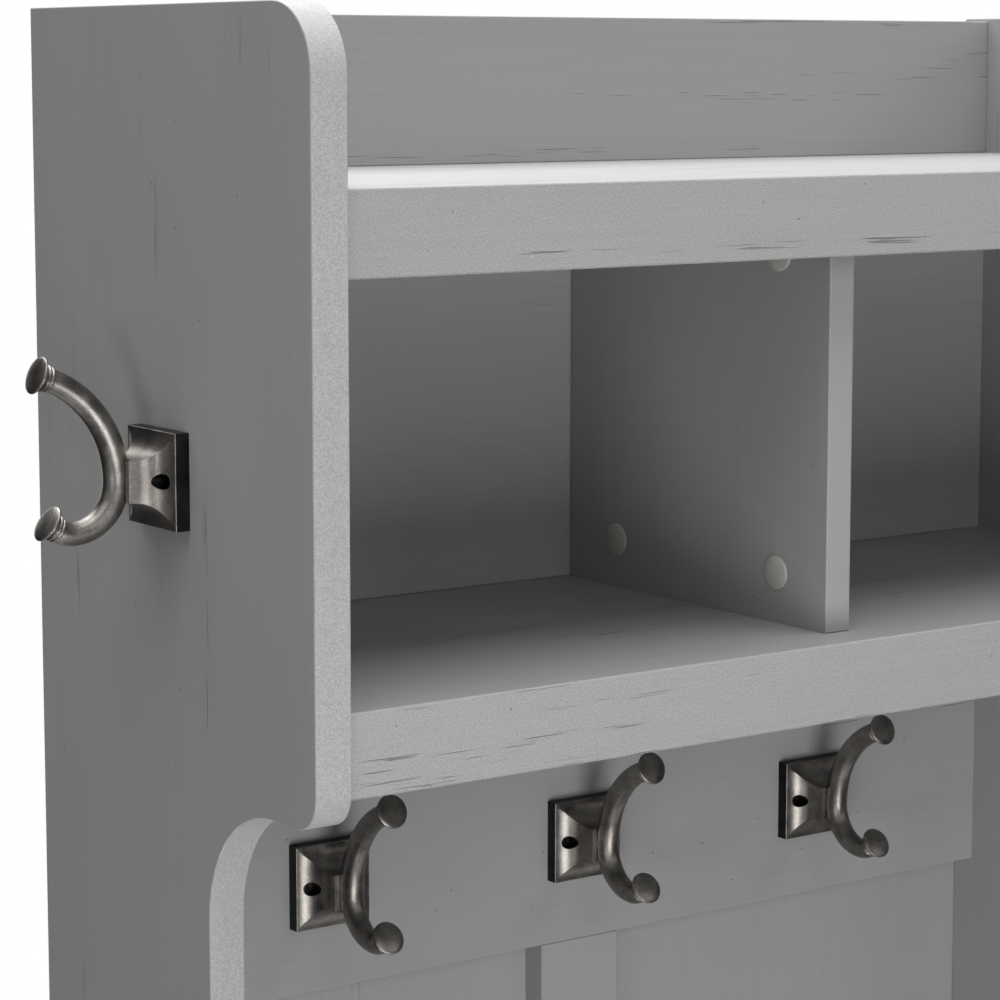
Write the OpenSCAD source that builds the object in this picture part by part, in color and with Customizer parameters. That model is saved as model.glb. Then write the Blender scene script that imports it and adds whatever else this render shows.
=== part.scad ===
// Hall tree: a shoe bench with a narrow coat space, two cubbies, a top tray and five cast hooks.
// Frame: origin on the floor at the middle of the footprint, X to the right, Y to the back, Z up.

/* [Overall] */
// Width over the two side panels
overall_w = 655; // [560:5:900]
// Height from the floor to the top of the side panels
overall_h = 1720; // [1660:5:1900]
// Depth of the bench, from its front edge to the back face
bench_d = 400; // [340:5:480]

/* [Boards] */
// Thickness of the side panels
side_t = 19; // [18:0.5:22]
// Thickness of the shelves, rails and dividers
board_t = 16; // [15:0.5:18]
// Thickness of the hardboard skins on the back
skin_t = 4; // [3:0.5:5]

/* [Side outline] */
// Depth of the side panels beside the cubbies
upper_d = 265.5; // [240:0.5:300]
// Depth of the side panels beside the coats
mid_d = 169.5; // [150:0.5:180]
// Radius of the top front corner and of the bench's front corner
top_corner_r = 32; // [10:1:40]
// Radius of the lower front corner of the cubby section
nose_corner_r = 17; // [6:1:20]
// Radius of the hollow corners that lead into the coat section
cove_r = 60; // [30:1:64]
// Drop of the side panels below the cubby floor's rail
nose_drop = 12.5; // [4:0.5:30]
// Rise of the side panels above the seat
arm_rise = 60; // [30:5:120]

/* [Cubbies] */
// Depth of the top tray, from the panel tops to the shelf
tray_h = 81.5; // [60:0.5:120]
// Clear height of the two cubbies
cubby_h = 216.5; // [190:0.5:260]
// Height of the rails in front of the two upper shelves
rail_h = 40; // [30:1:60]
// Distance from the side panels' front edge back to the shelf rails
shelf_setback = 4; // [1:0.5:8]
// Distance from a rail's front back to the divider behind it
divider_setback = 23; // [18:1:40]

/* [Back frame] */
// Distance of the tray's back board below the panel tops
tray_back_drop = 2; // [0:0.5:6]
// Height of the rail that carries the hooks
hook_rail_h = 196; // [150:1:240]
// Width of the stile under the hook rail
stile_w = 54; // [40:1:90]

/* [Bench] */
// Height of the seat
seat_h = 457; // [420:1:480]
// Height of the rail in front of the seat
seat_rail_h = 60; // [40:1:80]
// Height of the bottom shelf's lower face
base_h = 60; // [50:1:90]
// Distance from the bench's front back to the toe kick
toe_setback = 34; // [20:1:60]
// Height of a floor glide
glide_h = 4; // [3:0.5:8]

/* [Hooks] */
// Distance between the hooks on the rail
hook_pitch = 171; // [130:1:200]
// Height of the hooks above the rail's lower edge
hook_rise = 60.5; // [50:0.5:90]
// Distance of the side hooks below the panel tops
side_hook_drop = 220.5; // [180:0.5:260]
// Width and height of a hook's back plate
plate_w = 46; // [44:0.5:50]
// Thickness of the back plate at its edges
plate_edge_t = 7.5; // [7:0.5:9]
// Distance from the wall to the end of the plate's neck
neck_l = 20; // [19:0.5:20.5]
// Diameter of the arm at the neck
arm_d = 12.5; // [11:0.5:13]
// Diameter of the arm next to its end discs
arm_end_d = 11; // [9:0.5:12]
// Radius of the arm's upper bend
upper_bend_r = 53; // [45:1:60]
// Radius of the arm's lower bend
lower_bend_r = 23; // [20:1:28]

/* [Hardware] */
// Diameter of the covers over the cam locks
cam_cover_d = 18; // [16:0.5:20]
// Diameter of the wall fixing holes
wall_hole_d = 5.5; // [4:0.5:7]
// Distance between the two wall fixing holes
wall_hole_pitch = 480; // [400:10:480]

/* [Hidden] */
$fn = 64;
eps = 0.01;

// Heights
nose_z = overall_h - tray_h - board_t - cubby_h - rail_h - nose_drop;
arm_z = seat_h + arm_rise;
tray_z = overall_h - tray_h;
ceiling_z = tray_z - board_t;
floor_z = ceiling_z - cubby_h;
hook_rail_z = floor_z - board_t - hook_rail_h;
bench_bottom_z = base_h + board_t;
bench_ceiling_z = seat_h - board_t;
shoe_shelf_z = (bench_bottom_z + bench_ceiling_z + board_t) / 2;
skin_top_z = overall_h - 20;

// Planes across the width
side_x = overall_w / 2;
inner_x = side_x - side_t;

// Planes through the depth
back_y = bench_d / 2;
skin_y = back_y - skin_t;
frame_y = skin_y - board_t;
upper_y = back_y - upper_d;
mid_y = back_y - mid_d;
bench_y = -bench_d / 2;
shelf_y = upper_y + shelf_setback;
seat_y = bench_y + shelf_setback;
divider_y = shelf_y + divider_setback;
bench_divider_y = seat_y + divider_setback;
toe_y = bench_y + toe_setback;
rebate_w = 10;

// Colours
paint = [0.56, 0.56, 0.56];
paint_light = [0.66, 0.66, 0.66];
hardboard = [0.48, 0.48, 0.48];
pewter = [0.27, 0.25, 0.24];
dark_steel = [0.12, 0.12, 0.12];
zinc = [0.66, 0.67, 0.68];
cover_plastic = [0.74, 0.76, 0.70];
glide_plastic = [0.82, 0.82, 0.80];
beech = [0.80, 0.66, 0.46];

// ---------- joinery ----------
// A joint is [point, rotation]: the point lies where two boards meet, local +x runs into the mate,
// and local +z leaves the face that a cam lock is let into.
cam_inset = 26;
cam_d = 15;
cam_depth = 12.5;
cam_dowel_mate_l = 10;
cam_dowel_d = 6;
cam_thread_d = 5;
cam_head_d = 7;
cam_neck_d = 4;
cam_stem_d = 6;
cam_stem_l = 2;
dowel_d = 8;
dowel_mate_l = 10;
dowel_board_l = 20;
dowel_l = 29;
nail_d = 1.6;
nail_head_d = 4;
nail_head_t = 0.8;
nail_l = 16;
hole_play = 0.5;

to_right_face_down = [180, 0, 0];
to_left_face_down = [180, 0, 180];
up_face_left = [0, -90, 0];
down_face_left = [180, 90, 0];
to_right_face_back = [-90, 0, 0];
to_left_face_back = [90, 0, 180];
pointing_up = [0, -90, 0];
pointing_down = [0, 90, 0];
pointing_right = [0, 0, 0];
pointing_left = [0, 0, 180];

// Cam joints at both ends of a shelf, at the given depths, with the cams in its lower face
function shelf_cams(z_top, depths) = [
    for (y = depths) each [
        [[inner_x, y, z_top - board_t / 2], to_right_face_down],
        [[-inner_x, y, z_top - board_t / 2], to_left_face_down]
    ]
];

// Cam joints at both ends of an upright back board, with the cams in its back face
function back_cams(heights) = [
    for (z = heights) each [
        [[inner_x, frame_y + board_t / 2, z], to_right_face_back],
        [[-inner_x, frame_y + board_t / 2, z], to_left_face_back]
    ]
];

// Cam joints at the top and bottom of a divider, with the cams in its left face
function divider_cams(z_low, z_high, depths) = [
    for (y = depths) each [
        [[0, y, z_high], up_face_left],
        [[0, y, z_low], down_face_left]
    ]
];

// Dowels from both ends of a board into the side panels
function end_dowels(y, z) = [
    [[inner_x, y, z], pointing_right],
    [[-inner_x, y, z], pointing_left]
];

upper_cam_depths = [upper_y + 66.5, upper_y + 202];
bench_cam_depths = [seat_y + 66.5, 0, frame_y - 60];

CUBBY_DIVIDER_CAMS = divider_cams(floor_z, ceiling_z, upper_cam_depths);
BENCH_DIVIDER_CAMS = divider_cams(bench_bottom_z, bench_ceiling_z, [seat_y + 90, 95]);
FACE_DOWN_CAMS = [
    each shelf_cams(tray_z, upper_cam_depths),
    each shelf_cams(floor_z, upper_cam_depths),
    each shelf_cams(seat_h, bench_cam_depths),
    each shelf_cams(bench_bottom_z, bench_cam_depths)
];
BACK_CAMS = back_cams([
    tray_z + 30,
    floor_z + 50,
    floor_z + 150,
    hook_rail_z + 30,
    hook_rail_z + 150
]);
COVERED_CAMS = [each CUBBY_DIVIDER_CAMS, each BENCH_DIVIDER_CAMS, each FACE_DOWN_CAMS];
CAM_JOINTS = [each COVERED_CAMS, each BACK_CAMS];

frame_mid_y = frame_y + board_t / 2;
toe_mid_y = toe_y + board_t / 2;
shelf_mid_drop = board_t / 2;
DOWEL_JOINTS = [
    each end_dowels(upper_y + 134, tray_z - shelf_mid_drop),
    each end_dowels(upper_y + 134, floor_z - shelf_mid_drop),
    each end_dowels(-90, seat_h - shelf_mid_drop),
    each end_dowels(-90, bench_bottom_z - shelf_mid_drop),
    each end_dowels(toe_mid_y, base_h - 25),
    each end_dowels(frame_mid_y, base_h - 25),
    each end_dowels(frame_mid_y, hook_rail_z + 90),
    for (s = [-1, 1]) each [
        [[s * 200, frame_mid_y, tray_z], pointing_down],
        [[s * 120, frame_mid_y, ceiling_z], pointing_up],
        [[s * 200, frame_mid_y, floor_z], pointing_down],
        [[s * 120, frame_mid_y, floor_z - board_t], pointing_up],
        [[s * 200, toe_mid_y, base_h], pointing_up],
        [[s * 200, frame_mid_y, base_h], pointing_up]
    ],
    for (s = [-1, 1]) each [
        [[s * 14, frame_mid_y, hook_rail_z], pointing_up],
        [[s * 14, frame_mid_y, seat_h], pointing_down]
    ],
    [[0, upper_y + 134, floor_z], pointing_down],
    [[0, upper_y + 134, ceiling_z], pointing_up],
    [[0, 0, bench_bottom_z], pointing_down],
    [[0, 0, bench_ceiling_z], pointing_up]
];

// Nails through the back skins, as [x, z]
nail_x = inner_x + rebate_w / 2;
seam_x = 12;
HUTCH_NAILS = [
    for (s = [-1, 1], k = [0 : 7]) [s * nail_x, seat_h + 30 + k * (overall_h - seat_h - 90) / 7],
    for (s = [-1, 1], x = [90, 200], z = [tray_z - 8, floor_z - 8, seat_h - 4]) [s * x, z],
    for (s = [-1, 1], k = [0 : 3]) [s * seam_x, seat_h + 60 + k * 200]
];
BENCH_NAILS = [
    for (s = [-1, 1], k = [0 : 3]) [s * nail_x, base_h + 20 + k * 110],
    for (s = [-1, 1], x = [70, 170, 260]) [s * x, bench_bottom_z - shelf_mid_drop],
    for (k = [1 : 3]) [0, base_h + 20 + k * 90]
];
NAILS = [each HUTCH_NAILS, each BENCH_NAILS];

module place(joint) {
    translate(joint[0]) rotate(joint[1]) children();
}

function within(p, lo, hi) =
    min([for (i = [0 : 2]) min(p[i] - lo[i], hi[i] - p[i])]) > -1;

// A round bar from x along +X
module rod_x(x, d, h) {
    translate([x, 0, 0]) rotate([0, 90, 0]) cylinder(d = d, h = h);
}

// A round bar from y along +Y
module rod_y(y, d, h) {
    translate([0, y, 0]) rotate([-90, 0, 0]) cylinder(d = d, h = h);
}

module cam_hole() {
    translate([-cam_inset, 0, board_t / 2 - cam_depth - hole_play]) cylinder(d = cam_d, h = cam_depth + 1);
    rod_x(-cam_inset, cam_head_d + 1, cam_inset);
    rod_x(0, cam_thread_d, cam_dowel_mate_l + hole_play);
}

module dowel_hole() {
    rod_x(-dowel_board_l, dowel_d, dowel_board_l + dowel_mate_l);
}

module nail_hole(p) {
    translate([p[0], 0, p[1]]) {
        rod_y(back_y - nail_head_t, nail_head_d, 1);
        rod_y(back_y - nail_l, nail_d, nail_l);
    }
}

// Drills a board that fills the box from lo to hi with the holes of every joint on its surface
module drilled(lo, hi) {
    difference() {
        children();
        for (joint = CAM_JOINTS) if (within(joint[0], lo, hi)) place(joint) cam_hole();
        for (joint = DOWEL_JOINTS) if (within(joint[0], lo, hi)) place(joint) dowel_hole();
    }
}

module nailed(nails) {
    difference() {
        children();
        for (p = nails) nail_hole(p);
    }
}

module block(lo, hi) {
    translate(lo) cube(hi - lo);
}

module board(lo, hi) {
    drilled(lo, hi) block(lo, hi);
}

// Extrudes a (y, z) outline along X from x0 to x1
module along_x(x0, x1) {
    translate([x0, 0, 0]) rotate([90, 0, 90]) linear_extrude(x1 - x0) children();
}

// ---------- side panels ----------
// The scrap between a square corner at the origin and a quarter circle that bridges it
module corner_scrap(r) {
    difference() {
        translate([-eps, -eps]) square(r + eps);
        translate([r, r]) circle(r);
    }
}

module side_outline() {
    difference() {
        union() {
            translate([upper_y, nose_z]) square([upper_d, overall_h - nose_z]);
            translate([mid_y, arm_z - eps]) square([mid_d, nose_z - arm_z + 2 * eps]);
            translate([bench_y, glide_h]) square([bench_d, arm_z - glide_h]);
            translate([mid_y, nose_z]) rotate(180) corner_scrap(cove_r);
            translate([mid_y, arm_z]) mirror([1, 0]) corner_scrap(cove_r);
        }
        translate([upper_y, overall_h]) mirror([0, 1]) corner_scrap(top_corner_r);
        translate([upper_y, nose_z]) corner_scrap(nose_corner_r);
        translate([bench_y, arm_z]) mirror([0, 1]) corner_scrap(top_corner_r);
    }
}

shelf_pin_d = 5;
shelf_pin_hole_l = 10;
shelf_pin_rise = [-32, 0, 32];
shelf_pin_depths = [bench_divider_y + 40, skin_y - 60];

shelf_pin_tip_l = 8;
divider_pin_hole_l = 7;
pin_z = shoe_shelf_z - board_t - shelf_pin_d / 2;

// Two rows of shelf pin holes that run from the plane at x towards way (1 is right, -1 is left)
module pin_holes(x, way, depth) {
    for (y = shelf_pin_depths, rise = shelf_pin_rise)
        translate([x, y, pin_z + rise]) rotate([0, way * 90, 0]) cylinder(d = shelf_pin_d, h = depth);
}

module side_panel(s) {
    lo = [s > 0 ? inner_x : -side_x, bench_y, glide_h];
    hi = [s > 0 ? side_x : -inner_x, back_y, overall_h];
    rebate_x = s > 0 ? inner_x - eps : -inner_x - rebate_w;
    color(paint) difference() {
        drilled(lo, hi) along_x(lo[0], hi[0]) side_outline();
        translate([rebate_x, skin_y, 0]) cube([rebate_w + eps, skin_t + 1, skin_top_z + 2]);
        for (p = NAILS) if (p[0] * s > inner_x) nail_hole(p);
        pin_holes(s * inner_x, s, shelf_pin_hole_l);
        place([[s * side_x, side_hook_y, side_hook_z], [0, 0, s > 0 ? 0 : 180]]) screw_pilots();
        for (y = side_glide_depths) translate([s * glide_x, y, 0]) glide_pilot();
    }
}

// ---------- shelves, rails and back boards ----------
// A shelf whose front edge is mitred to meet its rail
module mitred_shelf(front_y, top_z) {
    lo = [-inner_x, front_y, top_z - board_t];
    hi = [inner_x, skin_y, top_z];
    drilled(lo, hi) along_x(lo[0], hi[0])
        polygon([[front_y, top_z], [hi[1], top_z], [hi[1], lo[2]], [front_y + board_t, lo[2]]]);
}

// The rail that meets the shelf at the mitre
module mitred_rail(front_y, top_z, height) {
    along_x(-inner_x, inner_x)
        polygon([
            [front_y, top_z],
            [front_y + board_t, top_z - board_t],
            [front_y + board_t, top_z - height],
            [front_y, top_z - height]
        ]);
}

module top_shelf() {
    color(paint_light) difference() {
        mitred_shelf(shelf_y, tray_z);
        for (p = HUTCH_NAILS) nail_hole(p);
        for (s = [-1, 1]) bracket_pilots(s);
    }
}

module top_shelf_rail() {
    color(paint_light) mitred_rail(shelf_y, tray_z, rail_h);
}

module tray_back() {
    color(paint) board([-inner_x, frame_y, tray_z], [inner_x, skin_y, overall_h - tray_back_drop]);
}

module cubby_floor() {
    color(paint_light) difference() {
        mitred_shelf(shelf_y, floor_z);
        for (p = HUTCH_NAILS) nail_hole(p);
    }
}

module cubby_floor_rail() {
    color(paint_light) mitred_rail(shelf_y, floor_z, rail_h);
}

module cubby_divider() {
    color(paint_light) board([-board_t / 2, divider_y, floor_z], [board_t / 2, frame_y, ceiling_z]);
}

module cubby_back() {
    color(paint) difference() {
        board([-inner_x, frame_y, floor_z], [inner_x, skin_y, ceiling_z]);
        wall_holes();
    }
}

module hook_rail() {
    lo = [-inner_x, frame_y, hook_rail_z];
    hi = [inner_x, skin_y, floor_z - board_t];
    color(paint) difference() {
        board(lo, hi);
        for (k = [-1 : 1]) place([[k * hook_pitch, frame_y, rail_hook_z], [0, 0, -90]]) screw_pilots();
    }
}

module centre_stile() {
    color(paint) nailed(HUTCH_NAILS)
        board([-stile_w / 2, frame_y, seat_h], [stile_w / 2, skin_y, hook_rail_z]);
}

skin_gap = 0.5;

// The coat section's back is two sheets that meet behind the stile
module hutch_skin(s) {
    seam = skin_gap / 2;
    edge = inner_x + rebate_w - skin_gap;
    lo = [s > 0 ? seam : -edge, skin_y, seat_h - board_t / 2 + skin_gap];
    hi = [s > 0 ? edge : -seam, back_y, skin_top_z];
    color(hardboard) difference() {
        nailed(HUTCH_NAILS) block(lo, hi);
        wall_holes();
    }
}

// ---------- bench ----------
module bench_seat() {
    color(paint_light) difference() {
        mitred_shelf(seat_y, seat_h);
        for (p = NAILS) nail_hole(p);
    }
}

module bench_seat_rail() {
    color(paint_light) mitred_rail(seat_y, seat_h, seat_rail_h);
}

module bench_divider() {
    lo = [-board_t / 2, bench_divider_y, bench_bottom_z];
    hi = [board_t / 2, skin_y, bench_ceiling_z];
    color(paint_light) nailed(BENCH_NAILS) difference() {
        board(lo, hi);
        for (s = [-1, 1]) pin_holes(s * board_t / 2, -s, divider_pin_hole_l);
    }
}

shelf_play = 1;

module shoe_shelf(s) {
    near = board_t / 2 + shelf_play;
    far = inner_x - shelf_play;
    color(paint_light) block(
        [s > 0 ? near : -far, bench_divider_y, shoe_shelf_z - board_t],
        [s > 0 ? far : -near, skin_y - 2 * shelf_play, shoe_shelf_z]
    );
}

module bench_bottom() {
    color(paint_light) nailed(BENCH_NAILS)
        board([-inner_x, seat_y, base_h], [inner_x, skin_y, bench_bottom_z]);
}

module base_rail(front_y) {
    difference() {
        board([-inner_x, front_y, glide_h], [inner_x, front_y + board_t, base_h]);
        translate([0, front_y + board_t / 2, 0]) glide_pilot();
    }
}

module toe_kick() {
    color(paint) base_rail(toe_y);
}

module rear_base_rail() {
    color(paint) base_rail(frame_y);
}

module bench_skin() {
    edge = inner_x + rebate_w - skin_gap;
    color(hardboard) nailed(BENCH_NAILS)
        block([-edge, skin_y, base_h - 20], [edge, back_y, seat_h - board_t / 2 - skin_gap]);
}

// ---------- hooks ----------
// In a hook's own frame +x leaves the wall, +z is up and the plate's back is the plane x = 0.
rail_hook_z = hook_rail_z + hook_rise;
side_hook_z = overall_h - side_hook_drop;
side_hook_y = upper_y + upper_d / 2;
cove_plate_r = (plate_w - 20) / 2;
plate_screw_y = 15.4;
screw_well_d = 7.5;
screw_seat_t = 3.5;
screw_d = 3.8;
screw_head_d = 7;
screw_head_t = 2.2;
screw_l = 15;
drive_d = 2.5;
drive_depth = 1;
arm_screw_d = 4;
arm_screw_head_d = 8;
arm_screw_head_t = 2.5;
arm_screw_sink = 0.2;
saddle_gap = 0.05;
saddle_x = neck_l + saddle_gap + arm_d / 2;
arm_screw_tip_x = saddle_x - 2;
upper_sweep = 68;
lower_sweep = 90;
tip_bend_r = 12;
tip_sweep = 34;
arm_sides = 16;
bend_steps = 8;
tip_steps = 4;
disc_r = 9;

// Hook names with their places: [name, point on the wall, rotation]
HOOKS = [
    ["left_rail_hook", [-hook_pitch, frame_y, rail_hook_z], [0, 0, -90]],
    ["centre_rail_hook", [0, frame_y, rail_hook_z], [0, 0, -90]],
    ["right_rail_hook", [hook_pitch, frame_y, rail_hook_z], [0, 0, -90]],
    ["left_side_hook", [-side_x, side_hook_y, side_hook_z], [0, 0, 180]],
    ["right_side_hook", [side_x, side_hook_y, side_hook_z], [0, 0, 0]]
];

module at_hook(hook) {
    translate(hook[1]) rotate(hook[2]) children();
}

module at_plate_screws() {
    for (s = [-1, 1]) translate([0, s * plate_screw_y, 0]) children();
}

module screw_pilots() {
    at_plate_screws() rod_x(screw_seat_t - screw_l, screw_d, screw_l);
}

// Half of the coved plate's shape: straight edges that sweep up to the neck
module coved_outline() {
    difference() {
        translate([0, -plate_w / 2]) square([neck_l, plate_w]);
        for (s = [-1, 1]) translate([plate_edge_t + cove_plate_r, s * plate_w / 2]) circle(cove_plate_r);
    }
}

module hook_plate() {
    difference() {
        intersection() {
            translate([0, 0, -plate_w / 2]) linear_extrude(plate_w) coved_outline();
            rotate([90, 0, 0]) translate([0, 0, -plate_w / 2]) linear_extrude(plate_w) coved_outline();
        }
        at_plate_screws() {
            rod_x(screw_seat_t, screw_well_d, neck_l);
            rod_x(-1, screw_d + hole_play, neck_l);
        }
        rod_x(-1, arm_screw_d, neck_l + 2);
        rod_x(-1, arm_screw_head_d, arm_screw_head_t + 1);
    }
}

// A station of the arm is [x, z, heading, radius]. A heading of 0 points up and 90 points away
// from the wall.
function upper_station(a) = [
    saddle_x + upper_bend_r * (1 - cos(a)),
    upper_bend_r * sin(a),
    a,
    arm_radius(a / upper_sweep)
];

function lower_station(a) = a <= lower_sweep
    ? [
        saddle_x + lower_bend_r * (1 - cos(a)),
        -lower_bend_r * sin(a),
        180 - a,
        arm_radius(a / lower_sweep)
    ]
    : [
        saddle_x + lower_bend_r - tip_bend_r * cos(a),
        -lower_bend_r + tip_bend_r * (1 - sin(a)),
        180 - a,
        arm_radius(1)
    ];

function arm_radius(part) = (arm_d + (arm_end_d - arm_d) * part * part) / 2;

// Turned end: two fine rings, a flare and a shallow domed disc, as [distance, radius]
END_PROFILE = [
    [0.5, arm_end_d / 2 + 0.7],
    [1.7, arm_end_d / 2 + 0.7],
    [2.1, arm_end_d / 2 + 0.3],
    [2.6, arm_end_d / 2 + 1],
    [3.6, arm_end_d / 2 + 1],
    [4.0, arm_end_d / 2 + 0.6],
    [5.6, disc_r - 1.4],
    [6.6, disc_r],
    [7.3, disc_r],
    [8.1, disc_r - 1.6],
    [8.7, disc_r - 5]
];

function end_station(base, step) = [
    base[0] + step[0] * sin(base[2]),
    base[1] + step[0] * cos(base[2]),
    base[2],
    step[1]
];

upper_end = upper_station(upper_sweep);
lower_end = lower_station(lower_sweep + tip_sweep);
end_steps = len(END_PROFILE);
ARM_STATIONS = [
    for (k = [end_steps - 1 : -1 : 0]) end_station(upper_end, END_PROFILE[k]),
    for (k = [bend_steps : -1 : 0]) upper_station(k * upper_sweep / bend_steps),
    for (k = [1 : bend_steps]) lower_station(k * lower_sweep / bend_steps),
    for (k = [1 : tip_steps]) lower_station(lower_sweep + k * tip_sweep / tip_steps),
    for (k = [0 : end_steps - 1]) end_station(lower_end, END_PROFILE[k])
];

// One ring of the arm's skin. The upper half's headings point back up the arm, so its rings are
// turned round to follow the lower half's.
function ring_points(station, way) = [
    for (k = [0 : arm_sides - 1])
        let (turn = k * 360 / arm_sides, r = station[3])
        [
            station[0] + way * r * cos(turn) * cos(station[2]),
            r * sin(turn),
            station[1] - way * r * cos(turn) * sin(station[2])
        ]
];

upper_rings = end_steps + bend_steps + 1;

module hook_arm() {
    rings = len(ARM_STATIONS);
    points = [for (k = [0 : rings - 1]) each ring_points(ARM_STATIONS[k], k < upper_rings ? -1 : 1)];
    first_cap = [[for (k = [0 : arm_sides - 1]) k]];
    last_cap = [[for (k = [arm_sides - 1 : -1 : 0]) (rings - 1) * arm_sides + k]];
    sides = [
        for (ring = [0 : rings - 2], k = [0 : arm_sides - 1])
            let (next = (k + 1) % arm_sides, a = ring * arm_sides, b = a + arm_sides)
            each [[a + k, b + k, b + next], [a + k, b + next, a + next]]
    ];
    difference() {
        polyhedron(points, concat(first_cap, sides, last_cap));
        rod_x(neck_l - 1, arm_screw_d, arm_screw_tip_x + hole_play - neck_l + 1);
    }
}

// ---------- hardware ----------
module hook_plate_screws() {
    color(dark_steel) for (hook = HOOKS) at_hook(hook) at_plate_screws() difference() {
        union() {
            rod_x(screw_seat_t, screw_head_d, screw_head_t);
            rod_x(screw_seat_t - screw_l, screw_d, screw_l);
        }
        rod_x(screw_seat_t + screw_head_t - drive_depth, drive_d, screw_head_t);
    }
}

module hook_arm_screws() {
    color(dark_steel) for (hook = HOOKS) at_hook(hook) {
        rod_x(arm_screw_sink, arm_screw_head_d, arm_screw_head_t - arm_screw_sink);
        rod_x(arm_screw_sink, arm_screw_d, arm_screw_tip_x - arm_screw_sink);
    }
}

// Over a cam's centre, at a height above the face that it is let into
module at_cam(height) {
    translate([-cam_inset, 0, board_t / 2 + height]) children();
}

module cam_locks() {
    color(zinc) for (joint = CAM_JOINTS) place(joint)
        difference() {
            at_cam(-cam_depth) cylinder(d = cam_d, h = cam_depth - hole_play);
            rod_x(-cam_inset, cam_head_d + 1, cam_inset);
            at_cam(-cam_stem_l - hole_play) cylinder(d = cam_stem_d, h = cam_stem_l + 1);
        }
}

module cam_dowels() {
    color(zinc) for (joint = CAM_JOINTS) place(joint) {
        rod_x(2 - cam_inset, cam_head_d, 3);
        rod_x(4 - cam_inset, cam_neck_d, 7);
        rod_x(10 - cam_inset, cam_dowel_d, cam_inset - 10);
        rod_x(-1, cam_thread_d, cam_dowel_mate_l + 1);
    }
}

cover_rim_t = 0.5;
cover_dome_h = 1.2;
cover_steps = 4;

module cam_cover() {
    cover_r = cam_cover_d / 2;
    dome = [
        for (k = [0 : cover_steps])
            [cover_r * cos(k * 90 / cover_steps), cover_rim_t + cover_dome_h * sin(k * 90 / cover_steps)]
    ];
    rotate_extrude() polygon([[0, 0], [cover_r, 0], each dome]);
    translate([0, 0, -cam_stem_l]) cylinder(d = cam_stem_d - 0.2, h = cam_stem_l + cover_rim_t);
}

module cam_covers() {
    color(cover_plastic) for (joint = COVERED_CAMS) place(joint) at_cam(0) cam_cover();
}

module wood_dowels() {
    color(beech) for (joint = DOWEL_JOINTS) place(joint) rod_x(hole_play - dowel_board_l, dowel_d, dowel_l);
}

module back_nails() {
    color(zinc) for (p = NAILS) translate([p[0], 0, p[1]]) {
        rod_y(back_y - nail_head_t, nail_head_d, nail_head_t);
        rod_y(back_y - nail_l, nail_d, nail_l - eps);
    }
}

// A pin in the middle hole of each row, from the plane at x towards way
module pin_row(x, way, depth) {
    for (y = shelf_pin_depths) translate([x - way * shelf_pin_tip_l, y, pin_z]) rotate([0, way * 90, 0])
        cylinder(d = shelf_pin_d, h = shelf_pin_tip_l + depth - 1);
}

module shelf_pins() {
    color(zinc) for (s = [-1, 1]) {
        pin_row(s * inner_x, s, shelf_pin_hole_l);
        pin_row(s * board_t / 2, -s, divider_pin_hole_l);
    }
}

// Two steel angles under the top shelf take the screws that hold the object to the wall
bracket_leg = 24;
bracket_w = 40;
bracket_t = 2;
bracket_screw_d = 3.5;
bracket_screw_x = 11;
bracket_screw_y = 15;
bracket_screw_l = 10;
bracket_head_d = 7;
bracket_head_t = 2;
wall_hole_z = ceiling_z - bracket_leg / 2 - 1;

module wall_holes() {
    for (s = [-1, 1]) translate([s * wall_hole_pitch / 2, 0, wall_hole_z])
        rod_y(frame_y - bracket_t - 1, wall_hole_d, bracket_t + board_t + skin_t + 2);
}

module at_bracket_screws(s) {
    for (t = [-1, 1]) {
        x = s * wall_hole_pitch / 2 + t * bracket_screw_x;
        translate([x, frame_y - bracket_screw_y, ceiling_z - bracket_t]) children();
    }
}

module bracket_pilots(s) {
    at_bracket_screws(s) cylinder(d = bracket_screw_d, h = bracket_screw_l + bracket_t);
}

module wall_bracket(s) {
    left_x = s * wall_hole_pitch / 2 - bracket_w / 2;
    corner = [left_x + bracket_w, frame_y, ceiling_z];
    color(zinc) difference() {
        union() {
            block([left_x, frame_y - bracket_leg, ceiling_z - bracket_t], corner);
            block([left_x, frame_y - bracket_t, ceiling_z - bracket_leg], corner);
        }
        wall_holes();
        at_bracket_screws(s) translate([0, 0, -1]) cylinder(d = bracket_screw_d, h = bracket_t + 2);
    }
}

module bracket_screws() {
    color(dark_steel) for (s = [-1, 1]) at_bracket_screws(s) {
        cylinder(d = bracket_screw_d, h = bracket_screw_l + bracket_t);
        translate([0, 0, -bracket_head_t]) cylinder(d = bracket_head_d, h = bracket_head_t);
    }
}

// ---------- floor glides ----------
glide_d = 16;
glide_bevel_h = 1.5;
glide_nail_d = 2;
glide_nail_l = 12;
glide_x = side_x - side_t / 2;
side_glide_depths = [bench_y + 30, back_y - 30];

// Glide names with their places: [name, x, y]
GLIDES = [
    ["front_left_glide", -glide_x, side_glide_depths[0]],
    ["back_left_glide", -glide_x, side_glide_depths[1]],
    ["front_right_glide", glide_x, side_glide_depths[0]],
    ["back_right_glide", glide_x, side_glide_depths[1]],
    ["front_centre_glide", 0, toe_mid_y],
    ["back_centre_glide", 0, frame_mid_y]
];

module glide_pilot() {
    cylinder(d = glide_nail_d, h = glide_h + glide_nail_l);
}

module floor_glide(glide) {
    color(glide_plastic) translate([glide[1], glide[2], 0]) {
        cylinder(d1 = glide_d - 2 * glide_bevel_h, d2 = glide_d, h = glide_bevel_h);
        translate([0, 0, glide_bevel_h]) cylinder(d = glide_d, h = glide_h - glide_bevel_h);
        cylinder(d = glide_nail_d, h = glide_h + glide_nail_l - 1);
    }
}

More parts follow.
